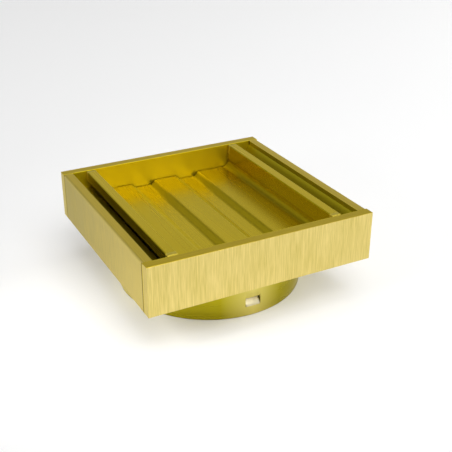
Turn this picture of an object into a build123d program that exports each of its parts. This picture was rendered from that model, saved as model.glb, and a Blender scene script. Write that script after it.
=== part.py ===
"""Square tile-insert floor grate: a lift-out tile tray in a flat-bar frame over a round outlet spigot.

The origin is at the centre of the spigot's bottom rim. +X runs along the front bar, +Y to the back.
"""

import os
from math import cos, radians

from build123d import *

# Driving dimensions, in millimetres.
FRAME_SIZE = 110.0  # square outline of the frame
FRAME_HEIGHT = 23.4
SPIGOT_DROP = 20.2  # length of the spigot below the frame
CROSS_BAR_THICK = 4.7  # front and back bars, which run the full width
SIDE_BAR_THICK = 4.6  # side bars, butted between them
RIGHT_SETBACK = 0.4  # the right bar stands in from the ends of the cross bars; the left is flush
SIDE_BAR_ROUND = 0.9
SEAM_CHAMFER = 0.4  # on the side bars' outer ends, so that the joint shows as a fine groove
CRISP_EDGE = 0.1

GUTTER_LIP = 2.3  # plain inner face of the side bar above the gutter
GUTTER_LEAN = 3.8  # how far the gutter's slope comes in from the bar
GUTTER_DEPTH = 8.9  # frame top to the gutter's ledge
GUTTER_REACH = 8.6  # side bar to the ledge's free edge
SHEET = 1.2

TRAY_OFFSET = -1.0  # the loose tray rests a little left of the middle
TRAY_HALF_WIDTH = 42.45
TRAY_END_GAP = 0.5
SIDE_RAIL_WIDTH = 4.75
SIDE_RAIL_LIP = 4.7
RECESS_DEPTH = 12.05  # frame top to the tray's floor panels
GROOVE_DEPTH = 2.2
GROOVE_OUTER_TOP, GROOVE_OUTER_FLOOR = 18.9, 16.3
GROOVE_INNER_FLOOR, GROOVE_INNER_TOP = 8.8, 6.05
NOTCH_DEPTH, NOTCH_WIDTH = 1.2, 2.2  # relief cut at each end of a groove's sides
PRESSED_BEND = 2.6  # radii on the upper side of the sheet
RAIL_BEND = 3.2
RAIL_EDGE = 0.5
END_CAP_LENGTH = 2.4
CAP_BEVEL = 0.35
FOOT_RADIUS = 3.2
FOOT_HEIGHT = 3.7
FOOT_X, FOOT_Y = 31.0, 46.4
SEAT_GAP = 0.05

BASE_THICK = 2.0
SPIGOT_RADIUS = 44.45
SPIGOT_WALL = 1.5
SPIGOT_FLANGE_RADIUS = 48.0
SPIGOT_NECK = 0.6  # the tube is turned down where it passes the base plate
SPIGOT_NECK_START = 2.0  # below the frame
TAB_COUNT = 4
TAB_WIDTH, TAB_LENGTH, TAB_ANGLE = 7.0, 4.2, 42.0
TAB_ROOT = 4.6  # bend line of a tab above the spigot's rim
TAB_SLIT = 0.3

BRACKET_LEG = 9.4
BRACKET_THICK = 2.0
REST_LENGTH = 14.0
REST_WIDTH = 7.5

STRAINER_RADIUS = 42.5
STRAINER_THICK = 1.0
STRAINER_HOLE = 1.6
STRAINER_RINGS = ((11.0, 10), (17.0, 16), (23.0, 22), (29.0, 28), (35.0, 34))
KNOB_RADIUS = 4.5
KNOB_HEIGHT = 7.5

SCREW_RADIUS = 1.5  # M3
SCREW_HEAD_RADIUS = 2.8
SCREW_HEAD = 1.6
SCREW_BITE = 3.0  # depth of a screw in a bar
KEY_RADIUS = 0.9
FIT = 0.05

# Places worked out from them.
HALF = FRAME_SIZE / 2
FRAME_BOTTOM = SPIGOT_DROP
FRAME_TOP = FRAME_BOTTOM + FRAME_HEIGHT
BASE_TOP = FRAME_BOTTOM + BASE_THICK
CROSS_INNER = HALF - CROSS_BAR_THICK
SIDE_INNER = HALF - RIGHT_SETBACK / 2 - SIDE_BAR_THICK  # half the space between the side bars
MIDDLE_X = -RIGHT_SETBACK / 2  # middle of that space
GUTTER_TOP = FRAME_TOP - GUTTER_DEPTH
FLOOR_TOP = FRAME_TOP - RECESS_DEPTH
GROOVE_TOP = FLOOR_TOP - GROOVE_DEPTH
FOOT_TOP = FLOOR_TOP - SHEET
REST_TOP = FOOT_TOP - FOOT_HEIGHT - SEAT_GAP
BRACKET_TOP = GUTTER_TOP - SHEET
BRACKET_SCREW = 6.4  # screw line from the frame's inner corner
BRACKET_SCREW_Z = (BASE_TOP + BRACKET_TOP) / 2 + 1.5
BORE_RADIUS = SPIGOT_RADIUS - SPIGOT_WALL


def save(part, name):
    """Label a finished piece and write it as the node of that name."""
    part.label = name
    export_step(part, f"parts/{name}.step")


def pan_screw(length):
    """Pan-head screw along +Z: shank up from the origin's plane, head below it, hexagon socket."""
    with BuildPart() as screw:
        with BuildSketch(Plane.XY):
            Circle(SCREW_RADIUS - FIT)
        extrude(amount=length)
        with BuildSketch(Plane.XY):
            Circle(SCREW_HEAD_RADIUS)
        extrude(amount=-SCREW_HEAD)
        fillet(screw.edges().group_by(Axis.Z)[0], radius=0.6)
        with BuildSketch(Plane.XY.offset(-SCREW_HEAD)):
            RegularPolygon(radius=KEY_RADIUS, side_count=6)
        extrude(amount=0.9, mode=Mode.SUBTRACT)
    return screw.part


os.makedirs("parts", exist_ok=True)

# Cross bars: flat bar over the full width, with blind tapped holes for the corner brackets.


def cross_bar(side):
    """Front (-1) or back (+1) bar."""
    inner_face = Plane(
        origin=(0, side * CROSS_INNER, 0), x_dir=(1, 0, 0), z_dir=(0, -side, 0)
    )
    up = inner_face.y_dir.Z
    with BuildPart() as bar:
        with BuildSketch(Plane.XY.offset(FRAME_BOTTOM)):
            with Locations((0, side * (HALF - CROSS_BAR_THICK / 2))):
                Rectangle(FRAME_SIZE, CROSS_BAR_THICK)
        extrude(amount=FRAME_HEIGHT)
        chamfer(bar.edges().group_by(Axis.Z)[-1], length=CRISP_EDGE)
        with BuildSketch(inner_face):
            with Locations(
                *[(MIDDLE_X + s * (SIDE_INNER - BRACKET_SCREW), up * BRACKET_SCREW_Z) for s in (-1, 1)]
            ):
                Circle(SCREW_RADIUS)
        extrude(amount=-SCREW_BITE - FIT, mode=Mode.SUBTRACT)
    return bar.part


save(cross_bar(-1), "front_bar")
save(cross_bar(1), "back_bar")

# Side bars: softer outer top edge, two tapped holes each for the corner brackets.


def side_bar(side):
    """Left (-1) or right (+1) bar."""
    inner_face = Plane(
        origin=(MIDDLE_X + side * SIDE_INNER, 0, 0), x_dir=(0, 1, 0), z_dir=(-side, 0, 0)
    )
    up = inner_face.y_dir.Z
    with BuildPart() as bar:
        with BuildSketch(Plane.XY.offset(FRAME_BOTTOM)):
            with Locations((MIDDLE_X + side * (SIDE_INNER + SIDE_BAR_THICK / 2), 0)):
                Rectangle(SIDE_BAR_THICK, 2 * CROSS_INNER)
        extrude(amount=FRAME_HEIGHT)
        outer_to_inner = Axis((0, 0, 0), (-side, 0, 0))
        chamfer(bar.edges().filter_by(Axis.Z).group_by(outer_to_inner)[0], length=SEAM_CHAMFER)
        top_edges = bar.edges().filter_by(Axis.Y).group_by(Axis.Z)[-1].sort_by(outer_to_inner)
        fillet(top_edges[0], radius=SIDE_BAR_ROUND)
        top_edges = bar.edges().filter_by(Axis.Y).group_by(Axis.Z)[-1].sort_by(outer_to_inner)
        fillet(top_edges[-1], radius=CRISP_EDGE)
        with BuildSketch(inner_face):
            with Locations(
                *[(s * (CROSS_INNER - BRACKET_SCREW), up * BRACKET_SCREW_Z) for s in (-1, 1)]
            ):
                Circle(SCREW_RADIUS)
        extrude(amount=-SCREW_BITE - FIT, mode=Mode.SUBTRACT)
    return bar.part


save(side_bar(-1), "left_bar")
save(side_bar(1), "right_bar")

# Side gutters: folded sheet that leans in from the side bar and ends in a level ledge.


def gutter(side):
    """Gutter of the left (-1) or right (+1) side; its ends stop at the cross bars."""
    slope_start = FRAME_TOP - GUTTER_LIP
    fall = slope_start - GUTTER_TOP
    lean = GUTTER_LEAN / fall
    upright_thick = SHEET * (1 + lean**2) ** 0.5 / lean
    outline = [
        (0, slope_start),
        (GUTTER_LEAN, GUTTER_TOP),
        (GUTTER_REACH, GUTTER_TOP),
        (GUTTER_REACH, GUTTER_TOP - SHEET),
        ((slope_start - upright_thick - GUTTER_TOP + SHEET) * lean, GUTTER_TOP - SHEET),
        (0, slope_start - upright_thick),
    ]
    with BuildPart() as strip:
        with BuildSketch(Plane.XZ.offset(-CROSS_INNER)):
            with BuildLine():
                Polyline(*[(MIDDLE_X + side * (SIDE_INNER - x), z) for x, z in outline], close=True)
            make_face()
        extrude(amount=2 * CROSS_INNER)
        bends = strip.edges().filter_by(Axis.Y)
        inside = bends.group_by(Axis.Z)[-2].sort_by(Axis.X)[0 if side < 0 else -1]
        fillet(inside, radius=0.8)
        under = strip.edges().filter_by(Axis.Y).group_by(Axis.Z)[0].sort_by(Axis.X)
        fillet(under[0 if side < 0 else -1], radius=2.0)
    return strip.part


save(gutter(-1), "left_gutter")
save(gutter(1), "right_gutter")

# Corner brackets: two legs on the bars and a foot on the base plate, tapped for its screw.


def corner_bracket(side_x, side_y):
    """Three-sided bracket in the corner given by the signs."""
    corner_x, corner_y = MIDDLE_X + side_x * SIDE_INNER, side_y * CROSS_INNER
    height = BRACKET_TOP - BASE_TOP
    middle = BRACKET_LEG / 2
    with BuildPart() as bracket:
        with BuildSketch(Plane.XY.offset(BASE_TOP)):
            with Locations((corner_x - side_x * BRACKET_THICK / 2, corner_y - side_y * middle)):
                Rectangle(BRACKET_THICK, BRACKET_LEG)
            with Locations((corner_x - side_x * middle, corner_y - side_y * BRACKET_THICK / 2)):
                Rectangle(BRACKET_LEG, BRACKET_THICK)
        extrude(amount=height)
        with BuildSketch(Plane.XY.offset(BASE_TOP)):
            with Locations((corner_x - side_x * middle, corner_y - side_y * middle)):
                Rectangle(BRACKET_LEG, BRACKET_LEG)
        extrude(amount=BRACKET_THICK)
        with BuildSketch(Plane.XZ.offset(-corner_y)):
            with Locations((corner_x - side_x * BRACKET_SCREW, BRACKET_SCREW_Z)):
                Circle(SCREW_RADIUS)
        extrude(amount=side_y * BRACKET_THICK, mode=Mode.SUBTRACT)
        with BuildSketch(Plane.YZ.offset(corner_x)):
            with Locations((corner_y - side_y * BRACKET_SCREW, BRACKET_SCREW_Z)):
                Circle(SCREW_RADIUS)
        extrude(amount=-side_x * BRACKET_THICK, mode=Mode.SUBTRACT)
        with BuildSketch(Plane.XY.offset(BASE_TOP)):
            with Locations((corner_x - side_x * BRACKET_SCREW, corner_y - side_y * BRACKET_SCREW)):
                Circle(SCREW_RADIUS)
        extrude(amount=BRACKET_THICK, mode=Mode.SUBTRACT)
    return bracket.part


CORNERS = {
    "front_left": (-1, -1),
    "front_right": (1, -1),
    "back_left": (-1, 1),
    "back_right": (1, 1),
}
for corner, (side_x, side_y) in CORNERS.items():
    save(corner_bracket(side_x, side_y), f"corner_bracket_{corner}")

# Bracket screws: one through each leg of each bracket, into the bar behind it.
bracket_screw = pan_screw(BRACKET_THICK + SCREW_BITE)
bracket_screws = []
for side_x, side_y in CORNERS.values():
    into_cross_bar = Plane(
        origin=(
            MIDDLE_X + side_x * (SIDE_INNER - BRACKET_SCREW),
            side_y * (CROSS_INNER - BRACKET_THICK),
            BRACKET_SCREW_Z,
        ),
        z_dir=(0, side_y, 0),
    )
    into_side_bar = Plane(
        origin=(
            MIDDLE_X + side_x * (SIDE_INNER - BRACKET_THICK),
            side_y * (CROSS_INNER - BRACKET_SCREW),
            BRACKET_SCREW_Z,
        ),
        z_dir=(side_x, 0, 0),
    )
    bracket_screws += [into_cross_bar * bracket_screw, into_side_bar * bracket_screw]
save(Compound(children=bracket_screws), "bracket_screws")

# Base plate: fills the frame inside the bars, with the outlet hole and countersunk fixing holes.
REST_Y = CROSS_INNER - REST_WIDTH / 2
BRACKET_FEET = [
    (MIDDLE_X + side_x * (SIDE_INNER - BRACKET_SCREW), side_y * (CROSS_INNER - BRACKET_SCREW))
    for side_x, side_y in CORNERS.values()
]
RESTS = [(side_x * FOOT_X, side_y * REST_Y) for side_x, side_y in CORNERS.values()]

with BuildPart() as base_plate:
    with BuildSketch(Plane.XY.offset(FRAME_BOTTOM)):
        with Locations((MIDDLE_X, 0)):
            Rectangle(2 * SIDE_INNER, 2 * CROSS_INNER)
        Circle(SPIGOT_RADIUS - SPIGOT_NECK + FIT, mode=Mode.SUBTRACT)
    extrude(amount=BASE_THICK)
    with Locations(Plane.XY.offset(FRAME_BOTTOM) * Rotation(180, 0, 0)):
        with Locations(*[(x, -y) for x, y in BRACKET_FEET + RESTS]):
            CounterSinkHole(SCREW_RADIUS, SCREW_HEAD_RADIUS)
save(base_plate.part, "base_plate")

# Base screws: short countersunk screws, flush under the base plate.
with BuildPart() as base_screw:
    with BuildSketch(Plane.XZ):
        with BuildLine():
            Polyline(
                (0, 0),
                (SCREW_HEAD_RADIUS - FIT, 0),
                (SCREW_RADIUS - FIT, SCREW_HEAD_RADIUS - SCREW_RADIUS),
                (SCREW_RADIUS - FIT, 2 * BASE_THICK),
                (0, 2 * BASE_THICK),
                close=True,
            )
        make_face()
    revolve(axis=Axis.Z)
    with BuildSketch(Plane.XY):
        RegularPolygon(radius=KEY_RADIUS, side_count=6)
    extrude(amount=1.0, mode=Mode.SUBTRACT)
save(
    Compound(children=[Pos(x, y, FRAME_BOTTOM) * base_screw.part for x, y in BRACKET_FEET + RESTS]),
    "base_screws",
)

# Tray rests: blocks on the base plate that carry the tray's feet, clear of the outlet.
for (corner, _), (x, y) in zip(CORNERS.items(), RESTS):
    with BuildPart() as tray_rest:
        with BuildSketch(Plane.XY.offset(BASE_TOP)):
            with Locations((x, y)):
                Rectangle(REST_LENGTH, REST_WIDTH)
        extrude(amount=REST_TOP - BASE_TOP)
        chamfer(tray_rest.edges().group_by(Axis.Z)[-1], length=0.4)
        with BuildSketch(Plane.XY.offset(BASE_TOP)):
            with Locations((x, y)):
                Circle(SCREW_RADIUS)
        extrude(amount=BASE_THICK + FIT, mode=Mode.SUBTRACT)
    save(tray_rest.part, f"tray_rest_{corner}")

# Outlet spigot: tube with a flange on the base plate. Its tabs are slit on three sides and bent
# inwards from below, so that their free ends carry the strainer and the outside stays round.
with BuildPart() as outlet_spigot:
    with BuildSketch(Plane.XZ):
        with BuildLine():
            Polyline(
                (BORE_RADIUS, 0),
                (SPIGOT_RADIUS, 0),
                (SPIGOT_RADIUS, FRAME_BOTTOM - SPIGOT_NECK_START),
                (SPIGOT_RADIUS - SPIGOT_NECK, FRAME_BOTTOM - SPIGOT_NECK_START),
                (SPIGOT_RADIUS - SPIGOT_NECK, BASE_TOP),
                (SPIGOT_FLANGE_RADIUS, BASE_TOP),
                (SPIGOT_FLANGE_RADIUS, BASE_TOP + SPIGOT_WALL),
                (BORE_RADIUS, BASE_TOP + SPIGOT_WALL),
                close=True,
            )
        make_face()
    revolve(axis=Axis.Z)
    fillet(outlet_spigot.edges().group_by(Axis.Z)[-1].sort_by(SortBy.RADIUS)[0], radius=1.2)
    chamfer(outlet_spigot.edges().group_by(Axis.Z)[0], length=0.3)
    for turn in range(TAB_COUNT):
        wall = Plane.XZ.rotated((0, 0, turn * 360 / TAB_COUNT)).offset(BORE_RADIUS - 1.0)
        with BuildSketch(wall):
            with Locations((0, TAB_ROOT + (TAB_LENGTH + TAB_SLIT) / 2)):
                Rectangle(TAB_WIDTH + 2 * TAB_SLIT, TAB_LENGTH + TAB_SLIT)
        extrude(amount=2 * SPIGOT_WALL, mode=Mode.SUBTRACT)
        around = Location((0, 0, 0), (0, 0, turn * 360 / TAB_COUNT))
        bent = Location((0, -SPIGOT_RADIUS, TAB_ROOT), (-TAB_ANGLE, 0, 0))
        with Locations(around * bent):
            Box(
                TAB_WIDTH,
                SPIGOT_WALL,
                TAB_LENGTH,
                align=(Align.CENTER, Align.MIN, Align.MIN),
            )
save(outlet_spigot.part, "outlet_spigot")

# Tray pan: one folded sheet. Each side is a rail of inverted-U section with crisp top edges, and
# the floor between them is pressed into panels and two shallow grooves with soft bends.
RAIL_LIP_Z = FRAME_TOP - SIDE_RAIL_LIP
RAIL_INNER = TRAY_HALF_WIDTH - SIDE_RAIL_WIDTH
TRAY_HALF_LENGTH = CROSS_INNER - TRAY_END_GAP
right_half = [
    (GROOVE_INNER_TOP, FLOOR_TOP, PRESSED_BEND),
    (GROOVE_INNER_FLOOR, GROOVE_TOP, PRESSED_BEND),
    (GROOVE_OUTER_FLOOR, GROOVE_TOP, PRESSED_BEND),
    (GROOVE_OUTER_TOP, FLOOR_TOP, PRESSED_BEND),
    (RAIL_INNER, FLOOR_TOP, RAIL_BEND),
]
floor_bends = [(-x, z, r) for x, z, r in reversed(right_half)] + right_half
floor_line = [(-RAIL_INNER, FRAME_TOP), *[(x, z) for x, z, _ in floor_bends], (RAIL_INNER, FRAME_TOP)]

with BuildPart() as tray_pan:
    with BuildSketch(Plane.XZ.offset(-TRAY_HALF_LENGTH)):
        with BuildLine():
            FilletPolyline(
                *[(TRAY_OFFSET + x, z) for x, z in floor_line],
                radius=[r for _, _, r in floor_bends],
            )
            for side in (-1, 1):
                Polyline(
                    (TRAY_OFFSET + side * RAIL_INNER, FRAME_TOP),
                    (TRAY_OFFSET + side * TRAY_HALF_WIDTH, FRAME_TOP),
                    (TRAY_OFFSET + side * TRAY_HALF_WIDTH, RAIL_LIP_Z),
                )
            offset(amount=SHEET, side=Side.RIGHT, kind=Kind.INTERSECTION)
        make_face()
    extrude(amount=2 * TRAY_HALF_LENGTH)
    fillet(tray_pan.edges().filter_by(Axis.Y).group_by(Axis.Z)[-1], radius=RAIL_EDGE)
    with BuildSketch(Plane.XY.offset(FRAME_TOP)):
        for end in (-1, 1):
            with Locations((TRAY_OFFSET, end * (TRAY_HALF_LENGTH - END_CAP_LENGTH / 2))):
                Rectangle(2 * TRAY_HALF_WIDTH, END_CAP_LENGTH)
    extrude(amount=-SIDE_RAIL_LIP, mode=Mode.SUBTRACT)
    with BuildSketch(Plane.XY.offset(FLOOR_TOP + SHEET)):
        for end in (-1, 1):
            for side in (-1, 1):
                for slope in (GROOVE_INNER_TOP + GROOVE_INNER_FLOOR, GROOVE_OUTER_TOP + GROOVE_OUTER_FLOOR):
                    with Locations((TRAY_OFFSET + side * slope / 2, end * TRAY_HALF_LENGTH)):
                        Rectangle(NOTCH_WIDTH, 2 * NOTCH_DEPTH)
    extrude(amount=-GROOVE_DEPTH - 3 * SHEET, mode=Mode.SUBTRACT)
save(tray_pan.part, "tray_pan")

# Rail end caps: a head that finishes the rail's section and a plug pushed into the rail.


def rail_end_cap(side_x, side_y):
    """Cap of the rail end given by the signs, with a bevelled outer top edge."""
    middle = TRAY_OFFSET + side_x * (RAIL_INNER + SIDE_RAIL_WIDTH / 2)
    end = side_y * TRAY_HALF_LENGTH
    with BuildPart() as cap:
        with BuildSketch(Plane.XZ.offset(-end)):
            with Locations((middle, FRAME_TOP - SIDE_RAIL_LIP / 2)):
                Rectangle(SIDE_RAIL_WIDTH, SIDE_RAIL_LIP)
        extrude(amount=side_y * END_CAP_LENGTH)
        fillet(cap.edges().filter_by(Axis.Y).group_by(Axis.Z)[-1], radius=RAIL_EDGE)
        outer_end = cap.faces().sort_by(Axis.Y)[0 if side_y < 0 else -1]
        chamfer(outer_end.edges().group_by(Axis.Z)[-1], length=CAP_BEVEL)
        with BuildSketch(Plane.XZ.offset(-end + side_y * END_CAP_LENGTH)):
            with Locations((middle, FRAME_TOP - SHEET - FIT - 1.5)):
                Rectangle(SIDE_RAIL_WIDTH - 2 * SHEET - 2 * FIT, 3.0)
        extrude(amount=side_y * 5.0)
    return cap.part


for corner, (side_x, side_y) in CORNERS.items():
    save(rail_end_cap(side_x, side_y), f"rail_end_cap_{corner}")

# Tray feet: rubber buttons bonded under the outer floor panels.
for corner, (side_x, side_y) in CORNERS.items():
    with BuildPart() as tray_foot:
        with BuildSketch(Plane.XY.offset(FOOT_TOP)):
            with Locations((TRAY_OFFSET + side_x * FOOT_X, side_y * FOOT_Y)):
                Circle(FOOT_RADIUS)
        extrude(amount=-FOOT_HEIGHT)
        fillet(tray_foot.edges().group_by(Axis.Z)[0], radius=0.6)
    save(tray_foot.part, f"tray_foot_{corner}")

# Strainer: perforated disc that rests on the spigot's tabs, with a knob and its screw.
TAB_TIP = TAB_ROOT + TAB_LENGTH * cos(radians(TAB_ANGLE))
STRAINER_BOTTOM = TAB_TIP + 0.1
STRAINER_TOP = STRAINER_BOTTOM + STRAINER_THICK
with BuildPart() as strainer_disc:
    with BuildSketch(Plane.XY.offset(STRAINER_BOTTOM)):
        Circle(STRAINER_RADIUS)
        for ring, count in STRAINER_RINGS:
            with PolarLocations(ring, count):
                Circle(STRAINER_HOLE, mode=Mode.SUBTRACT)
        Circle(SCREW_RADIUS, mode=Mode.SUBTRACT)
    extrude(amount=STRAINER_THICK)
save(strainer_disc.part, "strainer_disc")

with BuildPart() as strainer_knob:
    with BuildSketch(Plane.XZ):
        with BuildLine():
            Polyline(
                (0, STRAINER_TOP),
                (KNOB_RADIUS, STRAINER_TOP),
                (KNOB_RADIUS, STRAINER_TOP + 0.8),
                (KNOB_RADIUS - 2.0, STRAINER_TOP + 2.4),
                (KNOB_RADIUS - 2.0, STRAINER_TOP + 3.6),
                (KNOB_RADIUS, STRAINER_TOP + 5.2),
                (KNOB_RADIUS, STRAINER_TOP + KNOB_HEIGHT),
                (0, STRAINER_TOP + KNOB_HEIGHT),
                close=True,
            )
        make_face()
    revolve(axis=Axis.Z)
    fillet(strainer_knob.edges().group_by(Axis.Z)[-1], radius=1.2)
    with BuildSketch(Plane.XY.offset(STRAINER_TOP)):
        Circle(SCREW_RADIUS)
    extrude(amount=SCREW_BITE + FIT, mode=Mode.SUBTRACT)
save(strainer_knob.part, "strainer_knob")

strainer_screw = pan_screw(STRAINER_THICK + SCREW_BITE)
save(Pos(0, 0, STRAINER_BOTTOM) * strainer_screw, "strainer_screw")
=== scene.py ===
from math import cos, pi, radians, sin

import bmesh
import bpy
from mathutils import Matrix, Vector


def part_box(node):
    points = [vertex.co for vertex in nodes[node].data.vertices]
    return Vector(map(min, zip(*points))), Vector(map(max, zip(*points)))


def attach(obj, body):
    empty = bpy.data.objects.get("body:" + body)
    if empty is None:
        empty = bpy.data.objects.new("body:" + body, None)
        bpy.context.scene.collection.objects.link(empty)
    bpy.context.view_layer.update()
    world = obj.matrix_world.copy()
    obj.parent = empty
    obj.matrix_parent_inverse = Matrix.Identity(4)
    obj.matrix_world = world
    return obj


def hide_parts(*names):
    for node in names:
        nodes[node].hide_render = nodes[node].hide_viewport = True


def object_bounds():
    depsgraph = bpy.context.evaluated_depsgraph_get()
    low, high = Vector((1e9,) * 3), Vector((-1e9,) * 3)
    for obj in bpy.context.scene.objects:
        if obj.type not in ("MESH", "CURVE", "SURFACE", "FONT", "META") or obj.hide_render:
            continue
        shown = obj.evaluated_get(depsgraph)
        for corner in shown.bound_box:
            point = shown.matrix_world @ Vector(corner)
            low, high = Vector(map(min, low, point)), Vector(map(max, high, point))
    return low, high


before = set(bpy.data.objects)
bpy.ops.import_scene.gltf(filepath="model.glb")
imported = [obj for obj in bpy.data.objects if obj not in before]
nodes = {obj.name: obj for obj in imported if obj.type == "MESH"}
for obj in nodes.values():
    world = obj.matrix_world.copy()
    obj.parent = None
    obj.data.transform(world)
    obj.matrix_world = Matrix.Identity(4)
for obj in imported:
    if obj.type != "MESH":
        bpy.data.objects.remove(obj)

# The imported grate stands on the floor, with its outlet's rim at z = 0. Its box gives the
# camera its place.
cad_low, cad_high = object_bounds()

# Camera: a fairly long lens to the front left of the grate, looking down on it by about
# 27 degrees. It stands off from the frame's front left top corner, in widths of the frame.
width = cad_high.x - cad_low.x
stand_off = Vector((-0.929, -2.369, 1.436))
sight = Vector((0.4174, 0.7907, -0.4478))
roll = Matrix.Rotation(radians(0.17), 3, "Z")
camera_data = bpy.data.cameras.new("camera")
camera_data.sensor_width = 36.0
camera_data.lens = 64.76
camera = bpy.data.objects.new("camera", camera_data)
bpy.context.scene.collection.objects.link(camera)
camera.location = Vector((cad_low.x, cad_low.y, cad_high.z)) + width * stand_off
camera.rotation_euler = (sight.to_track_quat("-Z", "Y").to_matrix() @ roll).to_euler()
bpy.context.scene.camera = camera
bpy.context.scene.view_settings.view_transform = "Standard"


# Front and back bars: solid flat stainless bar across the whole width of the frame, brushed up
# and down on a belt and then plated gold, so the faces carry fine upright lines. Their tops are
# dressed along the bar and painted a darker gold as shade. The corner brackets inside the frame
# hold them to the side bars.
class Value:
    """A number that varies over a surface: arithmetic on it adds Math nodes."""

    def __init__(self, finish, socket):
        self.finish, self.socket = finish, socket

    def __add__(self, other):
        return self.finish.math("ADD", self, other)

    def __sub__(self, other):
        return self.finish.math("SUBTRACT", self, other)

    def __rsub__(self, other):
        return self.finish.math("SUBTRACT", other, self)

    def __mul__(self, other):
        return self.finish.math("MULTIPLY", self, other)

    def __gt__(self, other):
        return self.finish.math("GREATER_THAN", self, other)

    def __lt__(self, other):
        return self.finish.math("LESS_THAN", self, other)

    def __abs__(self):
        return self.finish.math("ABSOLUTE", self)

    __radd__, __rmul__ = __add__, __mul__


class Finish:
    """A material with one Principled shader: a plain colour and roughness that patterns vary."""

    def __init__(self, name, colour, roughness, metallic=1.0, glance=(1.0, 1.0, 1.0)):
        self.material = bpy.data.materials.new(name)
        self.material.use_nodes = True
        self.tree = self.material.node_tree
        self.surface = self.tree.nodes["Principled BSDF"]
        self.roughness = roughness
        self.keep("Base Color", (*colour, 1.0))
        self.keep("Roughness", roughness)
        self.keep("Metallic", metallic)
        self.keep("Specular Tint", (*glance, 1.0))
        self.place = self.node("ShaderNodeTexCoord", {}, output="Object")

    def keep(self, socket, value):
        """Give the shader one value for the whole surface."""
        self.surface.inputs[socket].default_value = value

    def vary(self, socket, value):
        """Give the shader a value that varies over the surface."""
        self.tree.links.new(value.socket, self.surface.inputs[socket])

    def node(self, kind, settings, *values, output=0, **named):
        """Add a node: its settings first, then its inputs in order or by name."""
        made = self.tree.nodes.new(kind)
        for name, setting in settings.items():
            setattr(made, name, setting)
        by_name = [(made.inputs[name], value) for name, value in named.items()]
        for socket, value in [*zip(made.inputs, values), *by_name]:
            if isinstance(value, Value):
                self.tree.links.new(value.socket, socket)
            elif value is not None:
                socket.default_value = value
        return Value(self, made.outputs[output])

    def math(self, operation, *values):
        return self.node("ShaderNodeMath", {"operation": operation}, *values)

    def mix(self, amount, first, second):
        """The first colour where the amount is 0, the second where it is 1."""
        colours = [c if isinstance(c, Value) else (*c, 1.0) for c in (first, second)]
        # A Mix node lists its number and vector inputs between its factor and its colours.
        others = [None] * 5
        return self.node("ShaderNodeMix", {"data_type": "RGBA"}, amount, *others, *colours, output=2)

    def noise(self, per_metre, detail=2.0):
        """Noise about 0.5, with this many features to the metre along X, Y and Z."""
        place = self.node("ShaderNodeVectorMath", {"operation": "MULTIPLY"}, self.place, per_metre)
        return self.node("ShaderNodeTexNoise", {}, Vector=place, Scale=1.0, Detail=detail)

    def along(self, axis, vector=None):
        """A vector's part along "X", "Y" or "Z", by default of the place on the object, in metres."""
        return self.node("ShaderNodeSeparateXYZ", {}, vector or self.place, output=axis)

    def normal(self, axis):
        """The part along an axis of the direction that the surface faces."""
        return self.along(axis, self.node("ShaderNodeNewGeometry", {}, output="Normal"))

    def facing(self, axis):
        """1 where the surface faces along an axis, to one side or the other, and 0 elsewhere."""
        mostly = 0.7
        return abs(self.normal(axis)) > mostly

    def lean(self):
        """How far the surface leans over between upright and level, 1 at 45 degrees."""
        up = abs(self.normal("Z"))
        return up * self.math("SQRT", 1 - up * up) * 2

    def positive(self, value):
        return self.math("MAXIMUM", value, 0.0)

    def relief(self, height, tall):
        """Bump from a height of 0 to 1 that stands this many metres tall."""
        bump = self.node("ShaderNodeBump", {}, Strength=1.0, Distance=tall, Height=height)
        self.vary("Normal", bump)

    def give_to(self, *names):
        """Put the finish on these carried-over pieces."""
        for name in names:
            nodes[name].data.materials.clear()
            nodes[name].data.materials.append(self.material)


def around(middle, *swings):
    """A value about this middle, with each noise's swing about it this strong."""
    for noise, strength in swings:
        middle = (noise - 0.5) * strength + middle
    return middle


# Gold gives back a little of its own colour even at a glancing angle.
gold_glance = (1.0, 0.98, 0.8)
plated_dark, plated_pale = (0.67, 0.53, 0.012), (0.76, 0.62, 0.02)


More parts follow.
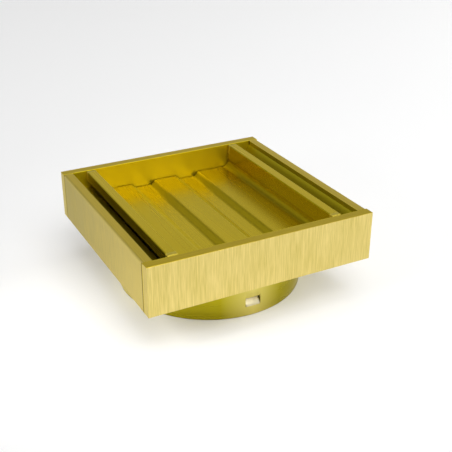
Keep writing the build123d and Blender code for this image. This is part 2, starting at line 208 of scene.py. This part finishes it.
def brushed_bar(name, along, dark, pale, painted_top, roughness):
    """Gold plate over belt-brushed bar: upright lines on its sides, and lines along its top.

    The face that looks into the frame is plated as rolled: smooth, and a deeper gold. The top
    takes its own pair of shades, painted to stand for the light that falls on it."""
    finish = Finish(name, pale, roughness, glance=gold_glance)
    top = finish.facing("Z")
    upright_lines = finish.noise((3300, 3300, 120))
    top_lines = finish.noise((50, 1900, 1900) if along == "X" else (1900, 50, 1900), detail=4.0)
    lines = upright_lines * (1 - top) + top_lines * top
    patches = finish.noise((90, 90, 40))
    shade = around(0.5, (lines, 2.0), (patches, 0.7))
    if along == "X":
        # The ends are painted a darker gold as shade, to go with the side bars' painted shade.
        end_shade_dark, end_shade_pale = (0.48, 0.375, 0.08), (0.66, 0.52, 0.14)
        ends = finish.mix(shade, end_shade_dark, end_shade_pale)
        sides = finish.mix(finish.facing("X"), finish.mix(shade, dark, pale), ends)
        across, inner_face = finish.along("Y"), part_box("back_bar")[0].y
    else:
        # Painted shade: the sides grow darker towards the back.
        painted_shade_to_back = 12
        shade = shade - (1 - top) * finish.along("Y") * painted_shade_to_back
        sides = finish.mix(shade, dark, pale)
        across, inner_face = finish.along("X"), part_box("right_bar")[0].x
    skin = 0.0003
    within = abs(across) < inner_face + skin
    inside = finish.mix(patches, plated_dark, plated_pale)
    # The top's own pair of shades is painted light and shade.
    colour = finish.mix(within, finish.mix(top, sides, finish.mix(shade, *painted_top)), inside)
    if along == "Y":
        # The pale colour on the leaning, rounded edges is a painted highlight.
        painted_edge_highlight, joint_shadow, joint_width = (0.72, 0.58, 0.16), (0.20, 0.14, 0.02), 0.0009
        bar_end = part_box("right_bar")[1].y
        joint = (abs(finish.along("Y")) > bar_end - joint_width) * (1 - top)
        colour = finish.mix(finish.lean(), colour, painted_edge_highlight)
        colour = finish.mix(joint, colour, joint_shadow)
    finish.vary("Base Color", colour)
    rougher_inside = within * 0.12
    finish.vary("Roughness", rougher_inside + around(roughness, (lines, 0.16), (patches, 0.1)))
    finish.relief(lines * (1 - within), tall=0.000004)
    return finish


cross_bar_gold = brushed_bar(
    "brushed_gold_cross_bar",
    along="X",
    dark=(0.61, 0.49, 0.125),
    pale=(0.84, 0.68, 0.25),
    painted_top=((0.50, 0.36, 0.015), (0.62, 0.46, 0.03)),
    roughness=0.34,
)
cross_bar_gold.give_to("front_bar", "back_bar")

# Side bars: two more lengths of the same bar, cut to fit between the cross bars and rounded
# over along their upper outer edges, where a pale highlight is painted. Their faces are painted
# a darker gold than the cross bars' as shade, darker still towards the back, and a dark line
# shows at each joint.
# The side bars' darker shades are painted shade.
side_bar_gold = brushed_bar(
    "painted_shade_gold_side_bar",
    along="Y",
    dark=(0.40, 0.31, 0.055),
    pale=(0.58, 0.455, 0.115),
    painted_top=((0.56, 0.42, 0.04), (0.66, 0.50, 0.07)),
    roughness=0.36,
)
side_bar_gold.give_to("left_bar", "right_bar")


# Gutters: folded stainless sheet along the inside of each side bar, which leads the water in
# the slot beside the tray down to the outlet. Plated with the frame, so as gold, but less rubbed.
def folded_sheet(name, dark, pale, roughness, grain=(420, 9, 420), linished=False):
    """Gold plate over rolled sheet: faint rolling lines with this grain, and cloudy patches.

    Where it is linished, the roughness is even, but for rougher edges."""
    finish = Finish(name, pale, roughness, glance=gold_glance)
    rolling = finish.noise(grain, detail=3.0)
    fine = finish.noise(tuple(4 * count for count in grain))
    clouds = finish.noise((60, 60, 60))
    shade = around(0.5, (rolling, 1.2), (fine, 0.6), (clouds, 0.5))
    finish.vary("Base Color", finish.mix(shade, dark, pale))
    if linished:
        rougher_edges = finish.lean() * 0.3
        finish.vary("Roughness", rougher_edges + roughness)
    else:
        finish.vary("Roughness", around(roughness, (fine, 0.12), (clouds, 0.1)))
    finish.relief(fine, tall=0.000001)
    return finish


gutter_gold = folded_sheet("gutter_gold", (0.47, 0.40, 0.011), (0.60, 0.51, 0.022), 0.42)
gutter_gold.give_to("left_gutter", "right_gutter")

# Base plate: flat sheet screwed up under the corner brackets, with the outlet's hole in it.
# It is plated as the rolling mill left it, with lines across the frame.
base_gold = folded_sheet(
    "base_plate_gold", (0.56, 0.46, 0.05), (0.68, 0.56, 0.09), 0.4, grain=(9, 420, 420)
)
base_gold.give_to("base_plate")


# Corner brackets: thick pressed angles of bare stainless steel, with a foot and two legs, which
# are screwed to two bars and to the base plate. Tumbled after pressing, so dull and marked.
def family(start):
    """The names of the carried-over nodes that start so."""
    return [name for name in nodes if name.startswith(start)]


bracket_steel = Finish("tumbled_steel_bracket", (0.50, 0.50, 0.48), 0.52)
marks = bracket_steel.noise((900, 900, 900), detail=4.0)
stains = bracket_steel.noise((150, 150, 150))
bracket_colour = bracket_steel.mix(stains, (0.34, 0.33, 0.31), (0.50, 0.50, 0.48))
bracket_steel.vary("Base Color", bracket_colour)
bracket_steel.vary("Roughness", around(bracket_steel.roughness, (marks, 0.3)))
bracket_steel.relief(marks, tall=0.00001)
bracket_steel.give_to(*family("corner_bracket"))

# Screws: stainless machine screws, pan head in the brackets and the strainer and countersunk
# under the tray rests. They are turned, so fine marks cover each head.
screw_steel = Finish("turned_steel_screw", (0.52, 0.52, 0.51), 0.38)
turning = screw_steel.noise((3200, 3200, 3200))
screw_colour = screw_steel.mix(turning, (0.36, 0.36, 0.35), (0.52, 0.52, 0.51))
screw_steel.vary("Base Color", screw_colour)
screw_steel.vary("Roughness", around(screw_steel.roughness, (turning, 0.3)))
screw_steel.give_to("bracket_screws", "base_screws", "strainer_screw")

# Tray rests: four plated steel blocks, screwed down to the base plate, that the tray's rubber
# feet stand on. Milled along their length.
rest_gold = folded_sheet(
    "tray_rest_gold", (0.52, 0.43, 0.05), (0.64, 0.53, 0.08), 0.36, grain=(9, 900, 900)
)
rest_gold.give_to(*family("tray_rest"))

# Tray pan: one folded sheet that holds a tile. Its floor is pressed into three raised panels
# with two grooves between them, and its sides are folded over into rails. Brushed along the
# folds and plated, which leaves the slopes matt. Shade is painted on the slopes that face left,
# the rails' sides, the bends and the rails' lips, and light on the slopes that face right.
tray_gold = Finish("satin_gold_tray", (0.59, 0.465, 0.015), 0.27, glance=gold_glance)
brushing = tray_gold.noise((1100, 12, 1100), detail=1.0)
rolled = tray_gold.noise((240, 5, 240), detail=1.0)
tray_clouds = tray_gold.noise((45, 45, 45))
tray_shade = around(0.5, (brushing, 0.4), (rolled, 0.8), (tray_clouds, 0.4))

tray_low, tray_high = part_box("tray_pan")
middle_x, half_width = (tray_low.x + tray_high.x) / 2, (tray_high.x - tray_low.x) / 2
rail_width, tile_depth, rail_face, lip_edge = 0.00475, 0.01205, 0.001, 0.0002
rail_inner, floor_top = half_width - rail_width, tray_high.z - tile_depth
off_middle = abs(tray_gold.along("X") - middle_x)
rail_side_painted_shade = (off_middle > rail_inner - rail_face) * tray_gold.facing("X")
lip_face_painted_shade = (off_middle > half_width - lip_edge) * tray_gold.facing("X")
# Painted shade and light by slope: slopes that face left are darker, slopes that face right paler.
slope = tray_gold.normal("X") * tray_gold.normal("Z") * 2
left_slope_painted_shade, right_slope_painted_light = tray_gold.positive(slope * -1), tray_gold.positive(slope)
beside_bend, above_floor = off_middle - rail_inner, tray_gold.along("Z") - floor_top
from_bend = tray_gold.math("SQRT", beside_bend * beside_bend + above_floor * above_floor)
# How fast the painted shade in the bends fades, per metre from the bend.
bend_shade_fade = 200
rail_bend_painted_shade = tray_gold.positive(1 - from_bend * bend_shade_fade)

tray_colour = tray_gold.mix(tray_shade, (0.55, 0.415, 0.010), (0.65, 0.49, 0.014))
# Painted shade on the rails' sides, the bends and the rails' lips.
for mask, colour in (
    (left_slope_painted_shade, (0.42, 0.33, 0.007)),
    (right_slope_painted_light, (0.78, 0.65, 0.03)),
    (rail_side_painted_shade, (0.49, 0.395, 0.008)),
    (rail_bend_painted_shade, (0.32, 0.24, 0.003)),
    (lip_face_painted_shade, (0.32, 0.26, 0.01)),
):
    tray_colour = tray_gold.mix(mask, tray_colour, colour)
tray_gold.vary("Base Color", tray_colour)
matt_slopes = (left_slope_painted_shade + right_slope_painted_light) * 0.2
tray_gold.vary("Roughness", matt_slopes + around(tray_gold.roughness, (rolled, 0.04)))
tray_gold.relief(rolled, tall=0.000001)
tray_gold.give_to("tray_pan")

# Rail end caps: small folded channels pushed over the ends of the rails and welded, then
# linished flush, which leaves them a little paler than the sheet.
cap_gold = folded_sheet(
    "linished_gold_cap",
    (0.56, 0.45, 0.05),
    (0.64, 0.52, 0.09),
    0.46,
    grain=(420, 420, 420),
    linished=True,
)
cap_gold.give_to(*family("rail_end_cap"))

# Rubber feet: four moulded buttons bonded under the tray, so that it stands still on its rests
# and doesn't ring. Each has a rounded edge and a hollow sole that grips like a sucker.
MM = 0.001
CENTRE_LINE = 0.02  # The smallest ring of a turned piece, in millimetres, which is then closed.


def turned(name, centre, outline, sides):
    """Turn a piece as on a lathe: a ring at the first (radius, height) is carried to the rest.

    Sizes are in millimetres about the centre. The piece is left in edit mode."""
    bpy.ops.object.select_all(action="DESELECT")
    (radius, height), *others = outline
    place = (centre[0], centre[1], centre[2] + height * MM)
    bpy.ops.mesh.primitive_circle_add(vertices=sides, radius=radius * MM, location=place)
    piece = bpy.context.object
    piece.name = piece.data.name = name
    bpy.ops.object.transform_apply(location=True)
    bpy.ops.object.mode_set(mode="EDIT")
    bpy.ops.mesh.select_mode(type="VERT")
    bpy.ops.mesh.select_all(action="SELECT")
    for next_radius, next_height in others:
        rise = (0, 0, (next_height - height) * MM)
        bpy.ops.mesh.extrude_edges_move(TRANSFORM_OT_translate={"value": rise})
        grow = next_radius / radius
        bpy.ops.transform.resize(value=(grow, grow, 1), center_override=(centre[0], centre[1], 0))
        radius, height = next_radius, next_height
    return piece


def close_up():
    """Merge what meets and turn every face outwards."""
    bpy.ops.mesh.select_all(action="SELECT")
    bpy.ops.mesh.remove_doubles(threshold=1e-6)
    bpy.ops.mesh.normals_make_consistent(inside=False)


def close_poles():
    """Close the small ring at each end of a turned piece with a face."""
    close_up()
    bpy.ops.mesh.select_non_manifold()
    bpy.ops.mesh.edge_face_add()
    close_up()


def soften(piece, edge, segments=3, sharper_than=30):
    """Leave edit mode and round the sharp edges over by this many millimetres."""
    bpy.ops.object.mode_set(mode="OBJECT")
    bevel = piece.modifiers.new("rounded edges", "BEVEL")
    bevel.width = edge * MM
    bevel.segments = segments
    bevel.limit_method = "ANGLE"
    bevel.angle_limit = radians(sharper_than)
    bpy.ops.object.modifier_apply(modifier=bevel.name)
    bpy.ops.object.shade_smooth_by_angle(angle=radians(sharper_than))


rubber = Finish("black_rubber", (0.025, 0.025, 0.024), 0.62, metallic=0.0)
bloom = rubber.noise((700, 700, 700), detail=4.0)
rubber.vary("Base Color", rubber.mix(bloom, (0.016, 0.016, 0.016), (0.045, 0.044, 0.042)))
rubber.vary("Roughness", around(rubber.roughness, (bloom, 0.3)))
rubber.relief(bloom, tall=0.00001)

for name in family("tray_foot"):
    low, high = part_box(name)
    centre = (low + high) / 2
    radius, tall = (high.x - low.x) / 2 / MM, (high.z - low.z) / MM
    hollow = [(CENTRE_LINE, 0.5), (1.2, 0.35), (1.9, 0.0)]
    sole = [(radius - 0.35, 0.0), (radius - 0.1, 0.1)]
    side = [(radius, 0.4), (radius, tall - 1.3), (radius - 0.25, tall - 1.15)]
    neck = [(radius - 0.25, tall - 0.85), (radius, tall - 0.7)]
    bond = [(radius, tall), (CENTRE_LINE, tall)]
    outline = hollow + sole + side + neck + bond
    foot = turned(name + "_moulded", (centre.x, centre.y, low.z), outline, sides=48)
    close_poles()
    soften(foot, edge=0.12)
    foot.data.materials.append(rubber.material)
    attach(foot, "tray")
    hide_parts(name)

# Strainer disc: stainless sheet punched all over with drain holes, which lies on the outlet's
# four tabs and keeps back what would block the pipe. Brushed one way before it was punched.
strainer_steel = Finish("brushed_steel_strainer", (0.58, 0.58, 0.56), 0.3)
strainer_grain = strainer_steel.noise((60, 2400, 400), detail=3.0)
disc_colour = strainer_steel.mix(strainer_grain, (0.34, 0.34, 0.33), (0.58, 0.58, 0.56))
strainer_steel.vary("Base Color", disc_colour)
strainer_steel.vary("Roughness", around(strainer_steel.roughness, (strainer_grain, 0.25)))
strainer_steel.relief(strainer_grain, tall=0.000006)
strainer_steel.give_to("strainer_disc")


# Strainer knob: a turned stainless knob to lift the strainer out by, waisted for two fingers
# and fluted round its head. The strainer's screw comes up into it from below.
def pick(wanted):
    """Select only the faces of the piece in hand whose middle, in millimetres, is wanted."""
    bpy.ops.mesh.select_mode(type="FACE")
    bpy.ops.mesh.select_all(action="DESELECT")
    mesh = bmesh.from_edit_mesh(bpy.context.object.data)
    for face in mesh.faces:
        face.select_set(wanted(face.calc_center_median() / MM))
    bmesh.update_edit_mesh(bpy.context.object.data)


knob_steel = Finish("turned_steel_knob", (0.66, 0.66, 0.64), 0.24)
turning_marks = knob_steel.noise((80, 80, 5200))
knob_colour = knob_steel.mix(turning_marks, (0.52, 0.52, 0.51), (0.74, 0.74, 0.72))
knob_steel.vary("Base Color", knob_colour)
knob_steel.vary("Roughness", around(knob_steel.roughness, (turning_marks, 0.3)))

low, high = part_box("strainer_knob")
centre = (low + high) / 2
tall = (high.z - low.z) / MM
head = (high.x - low.x) / 2 / MM
bore, bore_depth, waist = 1.5, 3.0, head - 2.0
flange, waist_tall, waist_steps = 0.8, 4.4, 8
flutes, flute_gap, flute_depth, recess = 60, 0.09, 0.12, 0.25
screw_bore = [(CENTRE_LINE, bore_depth), (bore, bore_depth), (bore, 0)]
foot_flange = [(head, 0), (head, flange)]
waisted = []
for step in range(1, waist_steps + 1):
    turn = 2 * pi * step / waist_steps
    waist_radius = waist + (head - waist) * (0.5 + 0.5 * cos(turn)) ** 2
    waisted.append((waist_radius, flange + waist_tall * step / waist_steps))
rim = [(head, tall - 0.5), (head - 0.4, tall), (head - 1.2, tall)]
crown = [(head - 1.5, tall - recess), (CENTRE_LINE, tall - recess)]
outline = screw_bore + foot_flange + waisted + rim + crown
knob = turned("strainer_knob_fluted", (centre.x, centre.y, low.z), outline, sides=flutes)
close_poles()
head_low = low.z / MM + flange + waist_tall
axis = centre.xy / MM
pick(lambda middle: middle.z > head_low and (middle.xy - axis).length > head - 0.1)
bpy.ops.mesh.inset(thickness=flute_gap * MM, depth=-flute_depth * MM, use_individual=True)
soften(knob, edge=0.08, segments=2)
knob.data.materials.append(knob_steel.material)
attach(knob, "strainer")
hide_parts("strainer_knob")

# Outlet: a length of plated tube with a flange that lies on the base plate. Four tabs are slit
# in its wall and bent inwards from below, so that the strainer stands on their tips. A paler band
# round them is a painted highlight, and the tabs are painted pale cream as a painted reflection,
# with fine marks.
outlet_gold = Finish("drawn_gold_outlet", (0.44, 0.375, 0.012), 0.28, glance=gold_glance)
turning_rings = outlet_gold.noise((6, 6, 900))
plate_clouds = outlet_gold.noise((40, 40, 40))
off_x, off_y = abs(outlet_gold.along("X")), abs(outlet_gold.along("Y"))
highlight_fade = 65
# Painted highlight: a paler band round each tab.
highlight_round_tabs = outlet_gold.positive(1 - outlet_gold.math("MINIMUM", off_x, off_y) * highlight_fade)
outlet_shade = around(0.5, (turning_rings, 0.5), (plate_clouds, 0.6))
outlet_colour = outlet_gold.mix(outlet_shade, (0.38, 0.325, 0.01), (0.46, 0.395, 0.017))
outlet_gold.vary("Base Color", outlet_gold.mix(highlight_round_tabs, outlet_colour, (0.70, 0.60, 0.16)))
matt_round_tabs = highlight_round_tabs * 0.1
outlet_gold.vary("Roughness", matt_round_tabs + around(outlet_gold.roughness, (turning_rings, 0.08)))
outlet_gold.relief(turning_rings, tall=0.0000005)

# The tabs' pale cream is a painted reflection of the bright floor.
tab_gold = Finish("pale_painted_gold_tab", (0.75, 0.66, 0.40), 0.4)
tab_marks = tab_gold.noise((900, 900, 200), detail=3.0)
tab_gold.vary("Base Color", tab_gold.mix(tab_marks, (0.62, 0.54, 0.30), (0.82, 0.75, 0.52)))
tab_gold.relief(tab_marks, tall=0.000008)

spigot_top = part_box("outlet_spigot")[1]
plate_low, plate_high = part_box("base_plate")
outside, wall, neck = 44.45, 1.5, 0.6
bore = outside - wall
flange_low, flange_top = plate_high.z / MM, spigot_top.z / MM
flange_radius = spigot_top.x / MM
neck_tall = 2.0
neck_start = plate_low.z / MM - neck_tall
tab_root, tab_top = 4.6, 9.1
tab_half, window_half = 3.5, 3.8
tab_rise, tab_bend, tab_steps, tab_step = 4.2, radians(42), 6, 0.25
cut_reach, near = 6, 0.01
mouth_radius, mouth_steps = 1.2, 4
mouth = []
for step in range(mouth_steps + 1):
    turn = pi / 2 * step / mouth_steps
    inwards, down = mouth_radius * (1 - sin(turn)), mouth_radius * (1 - cos(turn))
    mouth.append((bore + inwards, flange_top - down))
outline = [(bore, 0), (outside, 0), (outside, tab_root), (outside, tab_top)]
outline += [(outside, neck_start), (outside - neck, neck_start), (outside - neck, flange_low)]
outline += [(flange_radius, flange_low), (flange_radius, flange_top), *mouth]
outline += [(bore, tab_top), (bore, tab_root), (bore, 0)]
outlet = turned("outlet_tube", (0, 0, 0), outline, sides=252)
close_up()
outlet.data.materials.append(outlet_gold.material)
outlet.data.materials.append(tab_gold.material)


def in_front(middle):
    """At the tab that is being made, which is the one in front."""
    return middle.y < 5 - bore and tab_root < middle.z < tab_top


def at_root(middle):
    """On the lower edge of the window, where the tab grows."""
    return abs(middle.x) < tab_half and middle.y < 1 - bore and abs(middle.z - tab_root) < near


def on_tab(middle):
    """On the tab itself, above its root."""
    above_root = tab_root + 0.05
    return in_front(middle) and abs(middle.x) < tab_half + near and middle.z > above_root


for side in range(4):
    for cut in (-window_half, -tab_half, tab_half, window_half):
        pick(lambda middle: in_front(middle) and abs(middle.x) < cut_reach)
        bpy.ops.mesh.bisect(plane_co=(cut * MM, 0, 0), plane_no=(1, 0, 0))
    pick(lambda middle: in_front(middle) and abs(middle.x) < window_half)
    bpy.ops.mesh.delete(type="FACE")
    bpy.ops.mesh.select_mode(type="EDGE")
    bpy.ops.mesh.select_all(action="DESELECT")
    bpy.ops.mesh.select_non_manifold(extend=False)
    bpy.ops.mesh.bridge_edge_loops()
    pick(at_root)
    for step in range(tab_steps):
        lean = tab_bend * (step + 0.5) / tab_steps
        last = step == tab_steps - 1
        run = tab_rise - (tab_steps - 1) * tab_step if last else tab_step
        move = (0, run * sin(lean) * MM, run * cos(lean) * MM)
        bpy.ops.mesh.extrude_region_move(TRANSFORM_OT_translate={"value": move})
    pick(on_tab)
    outlet.active_material_index = 1
    bpy.ops.object.material_slot_assign()
    bpy.ops.mesh.select_all(action="SELECT")
    bpy.ops.transform.rotate(value=pi / 2, orient_axis="Z", center_override=(0, 0, 0))
close_up()
soften(outlet, edge=0.12, segments=2)
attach(outlet, "frame")
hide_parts("outlet_spigot")

# Floor: a plain pale sheet that the grate stands on. It glows faintly, like a studio sweep that
# is lit from behind, except inside the outlet's ring.
bpy.ops.object.select_all(action="DESELECT")
floor_size, floor_gap = 12.0, 0.0002
bpy.ops.mesh.primitive_plane_add(size=floor_size, location=(0, 0, -floor_gap))
floor = bpy.context.object
floor.name = "floor"
bpy.ops.object.transform_apply(location=True)
floor_white = Finish("pale_floor", (0.80, 0.80, 0.80), 0.9, metallic=0.0)
floor_x, floor_y = floor_white.along("X"), floor_white.along("Y")
under_outlet = floor_x * floor_x + floor_y * floor_y < (outside * MM) ** 2
floor_white.vary("Emission Color", floor_white.mix(under_outlet, (1, 1, 1), (0, 0, 0)))
floor_white.keep("Emission Strength", 0.15)
floor.data.materials.append(floor_white.material)

# Light: a white studio round the grate. Large soft panels stand overhead, in front and on the
# right for the metal faces to reflect, with dimmer ones behind, a small key light low in front,
# and a small lamp close on the left that brightens the front of the left side bar.
world = bpy.data.worlds.new("studio")
world.use_nodes = True
world.node_tree.nodes["Background"].inputs["Color"].default_value = (1, 1, 1, 1)
world.node_tree.nodes["Background"].inputs["Strength"].default_value = 0.05
bpy.context.scene.world = world


def softbox(name, direction, distance, size, radiance, spread=180):
    """A square light panel that faces the grate from this direction, with a beam this wide."""
    data = bpy.data.lights.new(name, "AREA")
    data.shape = "SQUARE"
    data.size = size
    data.energy = radiance * pi * size**2
    data.spread = radians(spread)
    light = bpy.data.objects.new(name, data)
    bpy.context.scene.collection.objects.link(light)
    toward = Vector(direction).normalized()
    light.location = toward * distance
    light.rotation_euler = (-toward).to_track_quat("-Z", "Y").to_euler()
    light.visible_camera = False


softbox("overhead", (0.1, -0.1, 1.0), distance=3.6, size=3.6, radiance=1.33)
softbox("front_high", (0.0, -0.75, 0.9), distance=1.4, size=1.0, radiance=3.1)
softbox("front_right", (0.55, -0.79, 0.50), distance=1.3, size=1.0, radiance=0.7)
softbox("low_key", (0.32, -0.95, 0.26), distance=1.5, size=0.2, radiance=4.0)
softbox("right", (0.95, -0.1, 0.4), distance=1.4, size=1.0, radiance=3.3)
softbox("back_right", (0.417, 0.79, 0.448), distance=1.4, size=1.0, radiance=0.60)
softbox("back_left", (-0.5, 0.75, 0.4), distance=1.4, size=1.2, radiance=0.55)
softbox("left_lamp", (-0.17, -0.05, 0.12), distance=0.214, size=0.06, radiance=3.6, spread=80)
